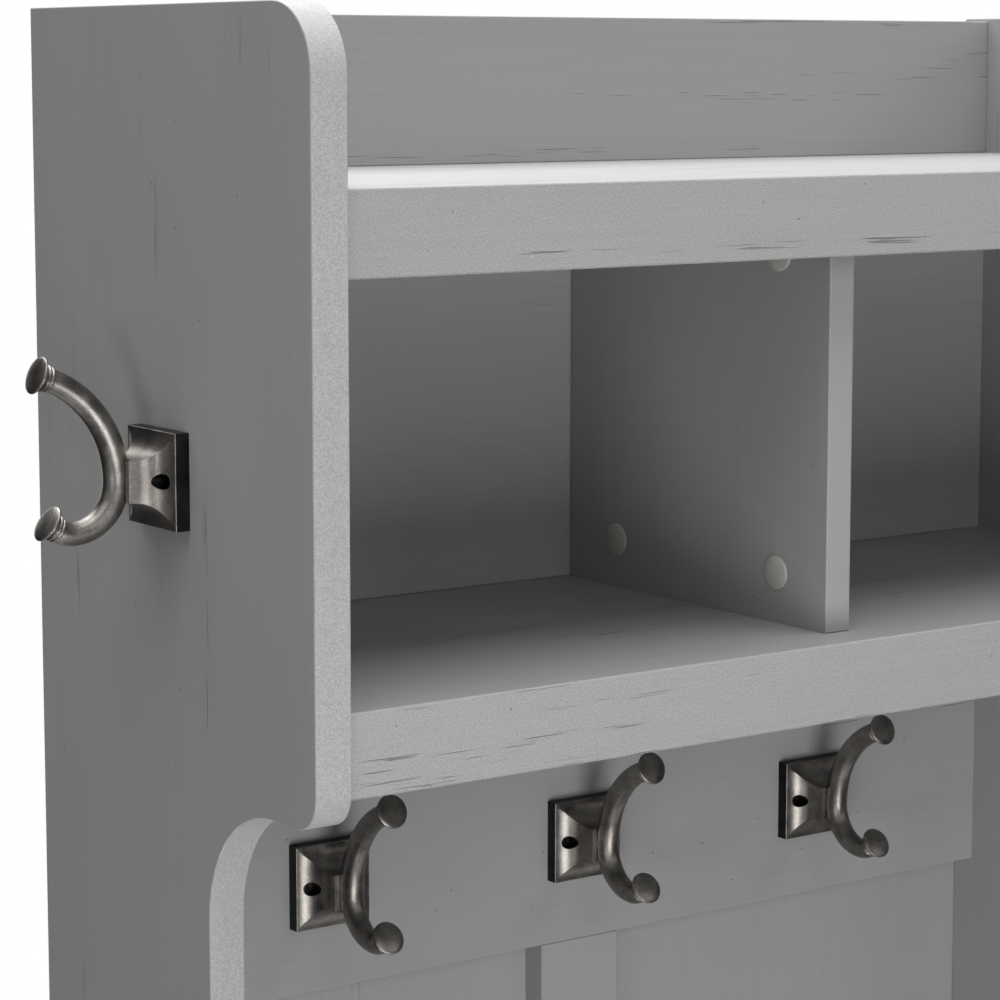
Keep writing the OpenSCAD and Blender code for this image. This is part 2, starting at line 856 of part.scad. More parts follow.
side_panel(-1);  // left_side_panel
side_panel(1);  // right_side_panel
top_shelf();
top_shelf_rail();
tray_back();
cubby_floor();
cubby_floor_rail();
cubby_divider();
cubby_back();
hook_rail();
centre_stile();
hutch_skin(-1);  // left_hutch_skin
hutch_skin(1);  // right_hutch_skin
bench_seat();
bench_seat_rail();
bench_divider();
shoe_shelf(-1);  // left_shoe_shelf
shoe_shelf(1);  // right_shoe_shelf
bench_bottom();
toe_kick();
rear_base_rail();
bench_skin();
for (hook = HOOKS) {
    color(pewter) at_hook(hook) hook_plate();
    color(pewter) at_hook(hook) hook_arm();
}
hook_plate_screws();
hook_arm_screws();
cam_locks();
cam_dowels();
cam_covers();
wood_dowels();
back_nails();
shelf_pins();
wall_bracket(-1);  // left_wall_bracket
wall_bracket(1);  // right_wall_bracket
bracket_screws();
for (glide = GLIDES) floor_glide(glide);
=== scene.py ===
"""Hall tree: painted boards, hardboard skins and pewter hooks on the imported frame. Metres throughout."""

import math

import bpy
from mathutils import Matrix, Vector


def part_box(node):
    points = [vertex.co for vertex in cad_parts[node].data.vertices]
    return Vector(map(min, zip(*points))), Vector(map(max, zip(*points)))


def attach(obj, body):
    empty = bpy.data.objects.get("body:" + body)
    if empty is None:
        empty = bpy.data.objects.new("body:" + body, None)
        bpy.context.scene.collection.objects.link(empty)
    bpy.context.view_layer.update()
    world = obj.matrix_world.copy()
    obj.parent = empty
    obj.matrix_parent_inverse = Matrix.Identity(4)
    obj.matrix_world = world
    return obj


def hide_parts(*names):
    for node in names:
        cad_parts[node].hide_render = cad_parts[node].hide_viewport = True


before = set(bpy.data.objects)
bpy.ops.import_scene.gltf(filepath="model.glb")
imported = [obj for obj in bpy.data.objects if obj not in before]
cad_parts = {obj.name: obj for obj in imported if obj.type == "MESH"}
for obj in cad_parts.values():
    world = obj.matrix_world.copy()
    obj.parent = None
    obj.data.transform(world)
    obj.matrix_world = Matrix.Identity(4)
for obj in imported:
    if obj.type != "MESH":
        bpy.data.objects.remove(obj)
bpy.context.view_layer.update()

MM = 0.001
# Hooks, each with a plate and an arm
HOOKS = ["left_rail_hook", "centre_rail_hook", "right_rail_hook", "left_side_hook", "right_side_hook"]


# ---------- shader building ----------
class Paint:
    """One node material, with short calls that add a node and hand back its output."""

    def __init__(self, name):
        self.material = bpy.data.materials.new(name)
        self.material.use_nodes = True
        self.nodes = self.material.node_tree.nodes
        self.links = self.material.node_tree.links
        self.surface = self.nodes["Principled BSDF"]

    def add(self, kind, **settings):
        node = self.nodes.new("ShaderNode" + kind)
        for key, value in settings.items():
            setattr(node, key, value)
        return node

    def feed(self, socket, value):
        """Links an output to a socket, or sets the socket to a plain value."""
        if isinstance(value, bpy.types.NodeSocket):
            self.links.new(value, socket)
        else:
            socket.default_value = value

    def place(self, per_metre):
        """Object coordinates, stretched to that many pattern cells a metre and shifted for each piece."""
        coords = self.add("TexCoord")
        stretch = self.add("Mapping")
        self.links.new(coords.outputs["Object"], stretch.inputs["Vector"])
        stretch.inputs["Scale"].default_value = per_metre
        piece = self.add("ObjectInfo")
        shift = self.math("MULTIPLY", piece.outputs["Random"], 37.0)
        moved = self.add("VectorMath", operation="ADD")
        self.links.new(stretch.outputs[0], moved.inputs[0])
        self.links.new(shift, moved.inputs[1])
        return moved.outputs[0]

    def math(self, operation, first, second=0.0):
        node = self.add("Math", operation=operation)
        self.feed(node.inputs[0], first)
        self.feed(node.inputs[1], second)
        return node.outputs[0]

    def noise(self, per_metre, detail=2.0, roughness=0.5):
        node = self.add("TexNoise")
        self.links.new(self.place(per_metre), node.inputs["Vector"])
        node.inputs["Scale"].default_value = 1.0
        node.inputs["Detail"].default_value = detail
        node.inputs["Roughness"].default_value = roughness
        return node.outputs["Fac"]

    def specks(self, per_metre, size):
        """Small round dots, 1 inside and 0 between, in a part of the cells. The size is in cells."""
        node = self.add("TexVoronoi")
        self.links.new(self.place(per_metre), node.inputs["Vector"])
        node.inputs["Scale"].default_value = 1.0
        dots = self.span(node.outputs["Distance"], size, size * 0.5)
        chosen = self.span(node.outputs["Color"], 0.58, 0.62)
        return self.math("MULTIPLY", dots, chosen)

    def span(self, value, low, high, out_low=0.0, out_high=1.0):
        """Maps low..high to out_low..out_high and clamps."""
        node = self.add("MapRange")
        self.feed(node.inputs["Value"], value)
        limits = {"From Min": low, "From Max": high, "To Min": out_low, "To Max": out_high}
        for socket, number in limits.items():
            node.inputs[socket].default_value = number
        return node.outputs["Result"]

    def blend(self, amount, first, second):
        """A colour between two colours."""
        node = self.add("Mix", data_type="RGBA")
        self.feed(node.inputs["Factor"], amount)
        self.feed(node.inputs[6], first)
        self.feed(node.inputs[7], second)
        return node.outputs[2]

    def as_grey(self, value):
        """A grey colour from a number."""
        node = self.add("CombineColor")
        for socket in node.inputs:
            self.links.new(value, socket)
        return node.outputs[0]

    def facing(self, axis):
        """How far a face looks along an axis, from -1 to 1."""
        surface = self.add("NewGeometry")
        parts = self.add("SeparateXYZ")
        self.links.new(surface.outputs["True Normal"], parts.inputs[0])
        return parts.outputs[axis]

    def edge(self, axis):
        """1 on faces that don't look along the given axis, and 0 on those that do."""
        return self.math("LESS_THAN", self.math("ABSOLUTE", self.facing(axis)), 0.7)

    def forward(self):
        """1 on faces that look straight ahead, along -Y, and 0 on the others."""
        return self.math("LESS_THAN", self.facing("Y"), -0.6)

    def bump(self, height, depth, under=None):
        """A normal raised by height times depth in metres, over another normal if one is given."""
        node = self.add("Bump")
        node.inputs["Strength"].default_value = 1.0
        node.inputs["Distance"].default_value = depth
        self.feed(node.inputs["Height"], height)
        if under:
            self.links.new(under, node.inputs["Normal"])
        return node.outputs["Normal"]

    def finish(self, colour, roughness, normal, **fixed):
        """Feeds the surface shader; fixed settings are plain numbers."""
        self.feed(self.surface.inputs["Base Color"], colour)
        self.feed(self.surface.inputs["Roughness"], roughness)
        self.links.new(normal, self.surface.inputs["Normal"])
        for key, value in fixed.items():
            self.surface.inputs[key.replace("_", " ")].default_value = value
        return self.material


def grey(value):
    return (value, value, value, 1.0)


def along_axis(axis, along, across):
    """Cells a metre on X, Y and Z, with their own number along one axis."""
    return tuple(along if k == "XYZ".index(axis) else across for k in range(3))


# ---------- materials ----------
# Albedo of the grey paint and of the open grain in it
PAINT_TONE = 0.30
PAINT_DARK = 0.10
# Painted light: how much lighter the edge faces are painted than the broad faces, for the stronger light
# that falls on them
EDGE_PAINTED_LIGHT = 0.13
# How far the deepest flaws go towards the dark tone, from 0 to 1
FLAW_STRENGTH = 0.72


def painted_wood(name, grain, face, wear=0.3, peel_and_painted_glints="none"):
    """Grey paint over wood: faint fibres, open grain checks, pits and an orange peel.

    The grain runs along one axis and the broad faces look along another. Wear is the amount of open
    grain. The chosen faces have a rougher peel, and light and dark specks in their colour that are painted
    glints and shade of the peel: "none" of them, the "edges", or "all". Chosen edges are also painted
    lighter, as painted light.
    """
    paint = Paint(name)
    fibres = paint.noise(along_axis(grain, 7, 340), 4.0, 0.6)
    clouds = paint.noise(along_axis(grain, 2, 9), 2.0)
    peel = paint.noise((1500, 1500, 1500), 0.0)
    edge = paint.edge(face)
    checks = painted_checks(paint, grain, wear)
    pits = paint.specks((90, 90, 90), 0.06)
    pits = paint.math("MULTIPLY", pits, paint.math("SUBTRACT", 1.0, edge))
    flaws = paint.math("MAXIMUM", checks, pits)
    shade = paint.math("MULTIPLY", paint.math("ADD", fibres, clouds), 0.5)
    tone = paint.span(shade, 0.3, 0.7, PAINT_TONE * 0.955, PAINT_TONE * 1.045)
    speckled = {"none": 0.0, "edges": edge, "all": 1.0}[peel_and_painted_glints]
    # Painted light: the edge faces are painted lighter, as if lit more strongly
    painted_edge_light = EDGE_PAINTED_LIGHT if peel_and_painted_glints == "edges" else 0.0
    # Painted glints and shade: light and dark specks from the peel noise, plus the edges' painted light
    painted_glints_and_edge_light = paint.math("MULTIPLY", speckled, paint.span(peel, 0.25, 0.75, painted_edge_light - 0.15, painted_edge_light + 0.23))
    tone = paint.math("MULTIPLY", tone, paint.math("ADD", 1.0, painted_glints_and_edge_light))
    depth = paint.math("MULTIPLY", flaws, FLAW_STRENGTH)
    colour = paint.blend(depth, paint.as_grey(tone), grey(PAINT_DARK))
    rough_peel = paint.math("ADD", 0.25, paint.math("MULTIPLY", speckled, 0.75))
    relief = paint.math("MULTIPLY", peel, rough_peel)
    normal = paint.bump(relief, 0.12 * MM)
    normal = paint.bump(fibres, 0.06 * MM, normal)
    normal = paint.bump(paint.math("SUBTRACT", 1.0, flaws), 0.35 * MM, normal)
    dull_flaws = paint.math("MULTIPLY", flaws, 0.2)
    roughness = paint.math("ADD", paint.span(peel, 0.3, 0.7, 0.46, 0.56), dull_flaws)
    return paint.finish(colour, roughness, normal, Specular_IOR_Level=0.35)


def painted_checks(paint, grain, wear):
    """Thin broken dashes along the grain, gathered in a few rows. Wear runs from 0 to 1."""
    dashes = paint.span(paint.noise(along_axis(grain, 24, 1300), 1.0), 0.64, 0.70)
    row_start = 0.625 - 0.1 * wear
    rows = paint.span(paint.noise(along_axis(grain, 1.6, 85), 1.0), row_start, row_start + 0.05)
    patch_start = 0.52 - 0.2 * wear
    patches = paint.span(paint.noise(along_axis(grain, 5, 12), 0.0), patch_start, patch_start + 0.1)
    return paint.math("MULTIPLY", paint.math("MULTIPLY", dashes, rows), patches)


def hardboard():
    """Painted like the boards in front, bare brown pressed fibre behind and on the edges."""
    paint = Paint("hardboard_sheet")
    fleck = paint.noise((420, 420, 420), 3.0, 0.7)
    felt = paint.noise((60, 60, 60), 4.0, 0.6)
    fibres = paint.noise(along_axis("Z", 7, 340), 4.0, 0.6)
    checks = painted_checks(paint, "Z", 0.5)
    bare = paint.blend(paint.span(fleck, 0.32, 0.68), (0.115, 0.062, 0.031, 1), (0.235, 0.137, 0.074, 1))
    bare = paint.blend(paint.span(felt, 0.35, 0.75, 0.0, 0.45), bare, (0.16, 0.09, 0.048, 1))
    front = paint.blend(paint.span(fibres, 0.3, 0.7), grey(PAINT_TONE * 0.98), grey(PAINT_TONE * 1.02))
    front = paint.blend(paint.math("MULTIPLY", checks, 0.7), front, grey(PAINT_DARK))
    is_front = paint.forward()
    colour = paint.blend(is_front, bare, front)
    roughness = paint.span(is_front, 0.0, 1.0, 0.82, 0.52)
    normal = paint.bump(fleck, 0.06 * MM)
    normal = paint.bump(fibres, 0.03 * MM, normal)
    return paint.finish(colour, roughness, normal, Specular_IOR_Level=0.3)


def pewter(name, low_colour, high_colour):
    """Antiqued metal, with cast mottling between two colours and a sandy grain."""
    paint = Paint(name)
    grain = paint.noise((1900, 1900, 1900), 2.0, 0.7)
    brushed = paint.noise((2600, 2600, 160), 2.0, 0.6)
    mottle = paint.noise((110, 110, 110), 3.0, 0.6)
    colour = paint.blend(paint.span(mottle, 0.3, 0.75), low_colour, high_colour)
    hollow_colour = tuple(value * 0.3 for value in low_colour)
    colour = paint.blend(paint.span(grain, 0.35, 0.8, 0.0, 0.6), colour, hollow_colour)
    sheen = paint.span(mottle, 0.3, 0.7, 0.30, 0.38)
    roughness = paint.math("ADD", sheen, paint.span(grain, 0.3, 0.7, 0.0, 0.1))
    normal = paint.bump(grain, 0.05 * MM)
    normal = paint.bump(brushed, 0.015 * MM, normal)
    return paint.finish(colour, roughness, normal, Metallic=1.0)


def dark_steel():
    """Blackened screws: oily black with a little wear."""
    paint = Paint("blackened_steel")
    wear = paint.noise((900, 900, 900), 3.0, 0.6)
    scratch = paint.noise((3000, 400, 3000), 1.0)
    colour = paint.blend(paint.span(wear, 0.35, 0.75), grey(0.022), (0.075, 0.07, 0.066, 1))
    normal = paint.bump(scratch, 0.01 * MM, paint.bump(wear, 0.02 * MM))
    return paint.finish(colour, paint.span(wear, 0.3, 0.7, 0.3, 0.5), normal, Metallic=1.0)


def zinc():
    """Bright plated fittings with a faint spangle."""
    paint = Paint("zinc_plate")
    spangle = paint.noise((260, 260, 260), 1.0)
    scratch = paint.noise((1800, 220, 1800), 2.0)
    colour = paint.blend(paint.span(spangle, 0.3, 0.7), (0.42, 0.44, 0.47, 1), (0.62, 0.63, 0.64, 1))
    normal = paint.bump(scratch, 0.01 * MM)
    return paint.finish(colour, paint.span(spangle, 0.3, 0.7, 0.26, 0.4), normal, Metallic=1.0)


def cover_plastic():
    """Pale grey-green moulded covers with a fine matte texture."""
    paint = Paint("cover_plastic")
    tint = paint.noise((120, 120, 120), 2.0)
    texture = paint.noise((2200, 2200, 2200), 2.0)
    colour = paint.blend(paint.span(tint, 0.3, 0.7), (0.36, 0.37, 0.325, 1), (0.42, 0.43, 0.385, 1))
    normal = paint.bump(texture, 0.012 * MM)
    roughness = paint.span(texture, 0.3, 0.7, 0.34, 0.46)
    return paint.finish(colour, roughness, normal, Specular_IOR_Level=0.45)


def beech():
    """Pale dowel wood with short flecks."""
    paint = Paint("beech_dowel")
    fibres = paint.noise((90, 900, 900), 3.0, 0.6)
    colour = paint.blend(paint.span(fibres, 0.3, 0.7), (0.46, 0.29, 0.16, 1), (0.63, 0.44, 0.27, 1))
    return paint.finish(colour, paint.span(fibres, 0.3, 0.7, 0.5, 0.66), paint.bump(fibres, 0.05 * MM))


def glide_plastic():
    """Off-white nylon, scuffed a little."""
    paint = Paint("glide_plastic")
    scuffs = paint.noise((400, 400, 900), 3.0, 0.6)
    colour = paint.blend(paint.span(scuffs, 0.35, 0.75), grey(0.68), (0.52, 0.51, 0.48, 1))
    return paint.finish(colour, paint.span(scuffs, 0.3, 0.7, 0.35, 0.55), paint.bump(scuffs, 0.02 * MM))


# Half the floor's side, and where it starts and stops fading, measured from the middle
FLOOR_HALF = 2.0
FADE_START = 0.9
FADE_END = 1.8


def pale_floor():
    """A plain pale studio floor with a faint tooth, which fades into the white surround."""
    paint = Paint("pale_floor")
    tooth = paint.noise((55, 55, 55), 3.0)
    drift = paint.noise((0.8, 0.8, 0.8), 1.0)
    colour = paint.blend(paint.span(drift, 0.3, 0.7), grey(0.78), grey(0.81))
    paint.finish(colour, paint.span(tooth, 0.3, 0.7, 0.7, 0.8), paint.bump(tooth, 0.05 * MM))
    coords = paint.add("TexCoord")
    reach = paint.add("VectorMath", operation="LENGTH")
    paint.links.new(coords.outputs["Object"], reach.inputs[0])
    rim = paint.add("MixShader")
    paint.feed(rim.inputs["Fac"], paint.span(reach.outputs["Value"], FADE_START, FADE_END))
    paint.links.new(paint.surface.outputs[0], rim.inputs[1])
    paint.links.new(paint.add("BsdfTransparent").outputs[0], rim.inputs[2])
    paint.links.new(rim.outputs[0], paint.nodes["Material Output"].inputs["Surface"])
    return paint.material


# ---------- pieces from mesh code ----------
def mesh_piece(name, points, faces, material, slot, *nodes):
    """A new piece on the root body that stands for the named CAD nodes."""
    mesh = bpy.data.meshes.new(name)
    mesh.from_pydata(points, [], faces)
    mesh.validate()
    mesh.materials.append(material)
    piece = bpy.data.objects.new(name, mesh)
    bpy.context.scene.collection.objects.link(piece)
    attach(piece, "root")
    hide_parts(*nodes)
    smooth_by_angle(piece)
    return piece


def steps(start, end, count):
    """Evenly spaced values from start to end, both included."""
    return [start + (end - start) * k / count for k in range(count + 1)]


def arc(centre, radius, start, end, count=4):
    """Points on a circle in the YZ plane, with angles in degrees from +Y towards +Z."""
    turn = [math.radians(angle) for angle in steps(start, end, count)]
    return [(centre[0] + radius * math.cos(a), centre[1] + radius * math.sin(a)) for a in turn]


def prism_along_x(name, outline, x_low, x_high, material, node):
    """A board with that (y, z) outline, counterclockwise as seen from +X."""
    count = len(outline)
    points = [(x, y, z) for x in (x_low, x_high) for y, z in outline]
    faces = [tuple(range(count - 1, -1, -1)), tuple(range(count, 2 * count))]
    faces += [(k, (k + 1) % count, (k + 1) % count + count, k + count) for k in range(count)]
    mesh_piece(name, points, faces, material, "painted_board", node)


# Radius on the corners of a shelf and its rail
EASE = 1.1 * MM


def mitred_pair(shelf, rail, shelf_paint, rail_paint):
    """A shelf and its front rail, with their shared front corner eased as one."""
    (x_low, front, bottom), (x_high, back, top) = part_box(shelf)
    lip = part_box(rail)[0].z
    thick = top - bottom
    corner = (front + EASE, top - EASE)
    inner = (front + thick, bottom)
    outline = arc(corner, EASE, 135, 90, 2)[::-1]
    outline = [(back, bottom), (back, top)] + outline + [inner]
    prism_along_x(shelf + "_eased", outline, x_low, x_high, shelf_paint, shelf)
    low_front = arc((front + EASE, lip + EASE), EASE, 180, 270)
    low_back = arc((front + thick - EASE, lip + EASE), EASE, 270, 360)
    outline = arc(corner, EASE, 135, 180, 2) + low_front + low_back + [inner]
    prism_along_x(rail + "_eased", outline, x_low, x_high, rail_paint, rail)


# ---------- hook arms ----------
# All in the hook's own frame: x leaves the wall, z is up and the plate's back is the plane x = 0.
NECK = 20.05 * MM
ARM_R = 6.25 * MM
ARM_END_R = 5.5 * MM
SADDLE_X = NECK + ARM_R
UPPER_BEND = 53 * MM
LOWER_BEND = 23 * MM
TIP_BEND = 12 * MM
UPPER_SWEEP = math.radians(68)
LOWER_SWEEP = math.radians(90)
TIP_SWEEP = math.radians(34)
DISC_R = 9 * MM
DOME_H = 1.7 * MM
DISC_RIM = 0.4 * MM
ARM_SIDES = 48

# Turned end as (distance, radius) in millimetres: two beads, a flare and the rim of the disc
TURNED_END = [
    (0.25, 5.55), (0.5, 6.0), (0.85, 6.2), (1.35, 6.2), (1.7, 6.0), (1.95, 5.7),
    (2.15, 5.7), (2.4, 6.15), (2.8, 6.5), (3.4, 6.5), (3.75, 6.2), (4.0, 5.95), (4.3, 6.05),
    (5.0, 6.7), (5.6, 7.5), (6.1, 8.35), (6.35, 8.8), (6.65, 9.0),
]


def arm_radius(part):
    return ARM_R + (ARM_END_R - ARM_R) * part * part


def upper_station(angle):
    """Centre, direction and radius on the upper bend, angle radians above the saddle."""
    centre = Vector((SADDLE_X + UPPER_BEND * (1 - math.cos(angle)), 0, UPPER_BEND * math.sin(angle)))
    return centre, Vector((math.sin(angle), 0, math.cos(angle))), arm_radius(angle / UPPER_SWEEP)


def lower_station(angle):
    """The same below the saddle, where the bend tightens past the quarter turn."""
    heading = Vector((math.sin(angle), 0, -math.cos(angle)))
    if angle <= LOWER_SWEEP:
        centre = (SADDLE_X + LOWER_BEND * (1 - math.cos(angle)), 0, -LOWER_BEND * math.sin(angle))
        return Vector(centre), heading, arm_radius(angle / LOWER_SWEEP)
    x = SADDLE_X + LOWER_BEND - TIP_BEND * math.cos(angle)
    z = -LOWER_BEND + TIP_BEND * (1 - math.sin(angle))
    return Vector((x, 0, z)), heading, ARM_END_R


def turned_end(last):
    """Stations of the turned end and its dome, which follow the last station of a bend."""
    centre, heading, _ = last
    profile = [(distance * MM, radius * MM) for distance, radius in TURNED_END]
    rim = profile[-1][0] + DISC_RIM
    dome = [(rim + DOME_H * math.sin(a), DISC_R * math.cos(a)) for a in steps(0, math.radians(85), 14)]
    return [(centre + heading * distance, heading, radius) for distance, radius in profile + dome]


def arm_stations():
    """Stations from the upper disc, down through the saddle and round to the lower disc."""
    upper = [upper_station(angle) for angle in steps(0, UPPER_SWEEP, 40)]
    lower = [lower_station(angle) for angle in steps(0, LOWER_SWEEP, 32)]
    lower += [lower_station(LOWER_SWEEP + angle) for angle in steps(0, TIP_SWEEP, 12)[1:]]
    upper += turned_end(upper[-1])
    lower += turned_end(lower[-1])
    flipped = [(centre, -heading, radius) for centre, heading, radius in reversed(upper)]
    return flipped + lower[1:]


def hook_arm(hook, material):
    """A round bar bent to both ends, with turned discs, in place on its plate."""
    stations = arm_stations()
    sideways = Vector((0, 1, 0))
    points = []
    for centre, heading, radius in stations:
        across = sideways.cross(heading)
        for k in range(ARM_SIDES):
            angle = 2 * math.pi * k / ARM_SIDES
            points.append(centre + radius * (math.cos(angle) * across + math.sin(angle) * sideways))
    faces = []
    for ring in range(len(stations) - 1):
        for k in range(ARM_SIDES):
            a = ring * ARM_SIDES + k
            b = ring * ARM_SIDES + (k + 1) % ARM_SIDES
            faces.append((a, b, b + ARM_SIDES, a + ARM_SIDES))
    first = len(points)
    points.append(stations[0][0] - stations[0][1] * 0.02 * MM)
    points.append(stations[-1][0] + stations[-1][1] * 0.02 * MM)
    last_ring = (len(stations) - 1) * ARM_SIDES
    for k in range(ARM_SIDES):
        after = (k + 1) % ARM_SIDES
        faces.append((first, after, k))
        faces.append((first + 1, last_ring + k, last_ring + after))
    place = hook_place(hook)
    node = hook + "_arm"
    mesh_piece(node + "_turned", [place(p) for p in points], faces, material, "pewter", node)


def hook_place(hook):
    """A function that takes a point from the hook's own frame to the object's."""
    low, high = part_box(hook + "_plate")
    middle = (low + high) / 2
    if hook == "left_side_hook":
        return lambda p: Vector((high.x - p.x, middle.y - p.y, middle.z + p.z))
    if hook == "right_side_hook":
        return lambda p: Vector((low.x + p.x, middle.y + p.y, middle.z + p.z))
    return lambda p: Vector((middle.x + p.y, high.y - p.x, middle.z + p.z))


# ---------- hook plates ----------
PLATE_HALF = 23 * MM
PLATE_EDGE = 7.5 * MM
PLATE_COVE = 13 * MM
NECK_HALF = PLATE_HALF - PLATE_COVE
NECK_TOP = 20 * MM
PLATE_EASE = 0.4 * MM
CRADLE_TOP = 24.5 * MM
CRADLE_WALL = 0.4 * MM
GROOVE_R = ARM_R + 0.05 * MM
WELL_R = 3.75 * MM
WELL_FLOOR = 3.5 * MM
WELL_SPREAD = 15.4 * MM


def plate_height(t):
    """Height of the plate's profile at t from its middle: the neck, a hollow cove, an eased rim."""
    t = abs(t)
    hollow = math.sqrt(max(PLATE_COVE**2 - (PLATE_HALF - t) ** 2, 0))
    height = min(NECK_TOP, PLATE_EDGE + PLATE_COVE - hollow)
    over = max(t - (PLATE_HALF - PLATE_EASE), 0)
    return height - PLATE_EASE + math.sqrt(max(PLATE_EASE**2 - over**2, 0))


def cradle_height(across):
    """Height of the neck's cradle: two cheeks and the groove between them that the arm lies in."""
    groove = SADDLE_X - math.sqrt(max(GROOVE_R**2 - across**2, 0))
    return min(CRADLE_TOP, groove)


def cast_height(across, along):
    """Height of the casting: the cradle inside the neck, the lower of the two coves outside it."""
    if max(abs(across), abs(along)) < NECK_HALF:
        return cradle_height(across)
    return min(plate_height(across), plate_height(along))


def plate_stations():
    """Distances from the middle where the profile is sampled, close together where it bends."""
    neck = [GROOVE_R * math.sin(a) for a in steps(0, math.pi / 2, 6)][1:]
    neck += [NECK_HALF - CRADLE_WALL, NECK_HALF]
    cove = [PLATE_HALF - PLATE_COVE * math.cos(a) for a in steps(0.02, math.radians(88), 26)]
    cove = [t for t in cove if t < PLATE_HALF - PLATE_EASE]
    rim = [PLATE_HALF - PLATE_EASE + PLATE_EASE * math.sin(a) for a in steps(0, math.pi / 2, 5)]
    half = neck + cove + rim
    return [-t for t in reversed(half)] + [0] + half


def plate_mesh():
    """A square plate that sweeps up to its neck on four sides, with mitred ridges."""
    stations = plate_stations()
    count = len(stations)
    points = [Vector((cast_height(y, z), y, z)) for y in stations for z in stations]
    faces = []
    for i in range(count - 1):
        for j in range(count - 1):
            a = i * count + j
            b = a + count
            c = b + 1
            d = a + 1
            if i == j:
                faces += [(a, b, c), (a, c, d)]
            elif i + j == count - 2:
                faces += [(a, b, d), (b, c, d)]
            else:
                faces.append((a, b, c, d))
    last = count - 1
    border = [i * count for i in range(last)] + [last * count + j for j in range(last)]
    border += [i * count + last for i in range(last, 0, -1)] + [j for j in range(last, 0, -1)]
    first_side = len(faces)
    foot = len(points)
    points += [Vector((0, points[k].y, points[k].z)) for k in border]
    for k in range(len(border)):
        after = (k + 1) % len(border)
        faces.append((border[after], border[k], foot + k, foot + after))
    faces.append(tuple(foot + k for k in range(len(border) - 1, -1, -1)))
    mesh = bpy.data.meshes.new("hook_plate_shape")
    mesh.from_pydata(points, [], faces)
    # The sides and back take the second slot, the near-black painted shade
    mark_shadowed(mesh, first_side)
    return mesh


def mark_shadowed(mesh, first_face):
    """Gives the faces from that one on the second of two material slots."""
    for _ in range(2):
        mesh.materials.append(None)
    for face in mesh.polygons:
        face.material_index = int(face.index >= first_face)


def well_cutter(side):
    """A drill the size of a screw well, standing on the well's floor."""
    sides = 48
    ring = [
        (WELL_R * math.cos(2 * math.pi * k / sides), WELL_R * math.sin(2 * math.pi * k / sides))
        for k in range(sides)
    ]
    points = [(x, side * WELL_SPREAD + y, z) for x in (WELL_FLOOR, 2 * NECK_TOP) for y, z in ring]
    faces = [tuple(range(sides - 1, -1, -1)), tuple(range(sides, 2 * sides))]
    faces += [(k, (k + 1) % sides, (k + 1) % sides + sides, k + sides) for k in range(sides)]
    mesh = bpy.data.meshes.new("well_cutter")
    mesh.from_pydata(points, [], faces)
    # Where this cuts, the well's walls and floor take the second slot, the near-black painted shade
    mark_shadowed(mesh, 0)
    return mesh


def drilled_plate():
    """The plate's points and faces with both screw wells cut out, and each face's material slot."""
    blank = bpy.data.objects.new("plate_blank", plate_mesh())
    bpy.context.scene.collection.objects.link(blank)
    cutters = [bpy.data.objects.new("well_cutter", well_cutter(side)) for side in (-1, 1)]
    for cutter in cutters:
        bpy.context.scene.collection.objects.link(cutter)
        cut = blank.modifiers.new("well", "BOOLEAN")
        cut.operation = "DIFFERENCE"
        cut.solver = "EXACT"
        cut.object = cutter
    bpy.context.view_layer.update()
    evaluated = blank.evaluated_get(bpy.context.evaluated_depsgraph_get())
    drilled = bpy.data.meshes.new_from_object(evaluated)
    points = [v.co.copy() for v in drilled.vertices]
    faces = [tuple(face.vertices) for face in drilled.polygons]
    slots = [face.material_index for face in drilled.polygons]
    for spare in [blank] + cutters:
        bpy.data.objects.remove(spare)
    return points, faces, slots


def hook_plate(hook, shape, material, shadow_material):
    """One plate: pewter on its coves, and near-black pewter on its sides and in its wells as painted
    shade.
    """
    points, faces, slots = shape
    place = hook_place(hook)
    node = hook + "_plate"
    piece = mesh_piece(node + "_cast", [place(p) for p in points], faces, material, "pewter", node)
    piece.data.materials.append(shadow_material)
    for face, slot in zip(piece.data.polygons, slots):
        face.material_index = slot


# ---------- finishing the CAD nodes ----------
def smooth_group():
    """Geometry nodes that smooth every face and keep edges over 32 degrees sharp."""
    group = bpy.data.node_groups.new("smooth_by_angle", "GeometryNodeTree")
    group.interface.new_socket("Geometry", in_out="INPUT", socket_type="NodeSocketGeometry")
    group.interface.new_socket("Geometry", in_out="OUTPUT", socket_type="NodeSocketGeometry")
    start = group.nodes.new("NodeGroupInput")
    end = group.nodes.new("NodeGroupOutput")
    plain = group.nodes.new("GeometryNodeRemoveAttribute")
    plain.inputs["Name"].default_value = "custom_normal"
    faces = group.nodes.new("GeometryNodeSetShadeSmooth")
    faces.domain = "FACE"
    edges = group.nodes.new("GeometryNodeSetShadeSmooth")
    edges.domain = "EDGE"
    edges.inputs["Shade Smooth"].default_value = False
    angle = group.nodes.new("GeometryNodeInputMeshEdgeAngle")
    sharp = group.nodes.new("ShaderNodeMath")
    sharp.operation = "GREATER_THAN"
    sharp.inputs[1].default_value = math.radians(32)
    group.links.new(start.outputs[0], plain.inputs[0])
    group.links.new(plain.outputs[0], faces.inputs["Geometry"])
    group.links.new(faces.outputs[0], edges.inputs["Geometry"])
    group.links.new(angle.outputs["Unsigned Angle"], sharp.inputs[0])
    group.links.new(sharp.outputs[0], edges.inputs["Selection"])
    group.links.new(edges.outputs[0], end.inputs[0])
    return group


SMOOTH_GROUP = smooth_group()


def smooth_by_angle(piece):
    smooth = piece.modifiers.new("smooth", "NODES")
    smooth.node_group = SMOOTH_GROUP
    weighted = piece.modifiers.new("weighted", "WEIGHTED_NORMAL")
    weighted.keep_sharp = True
    weighted.weight = 100


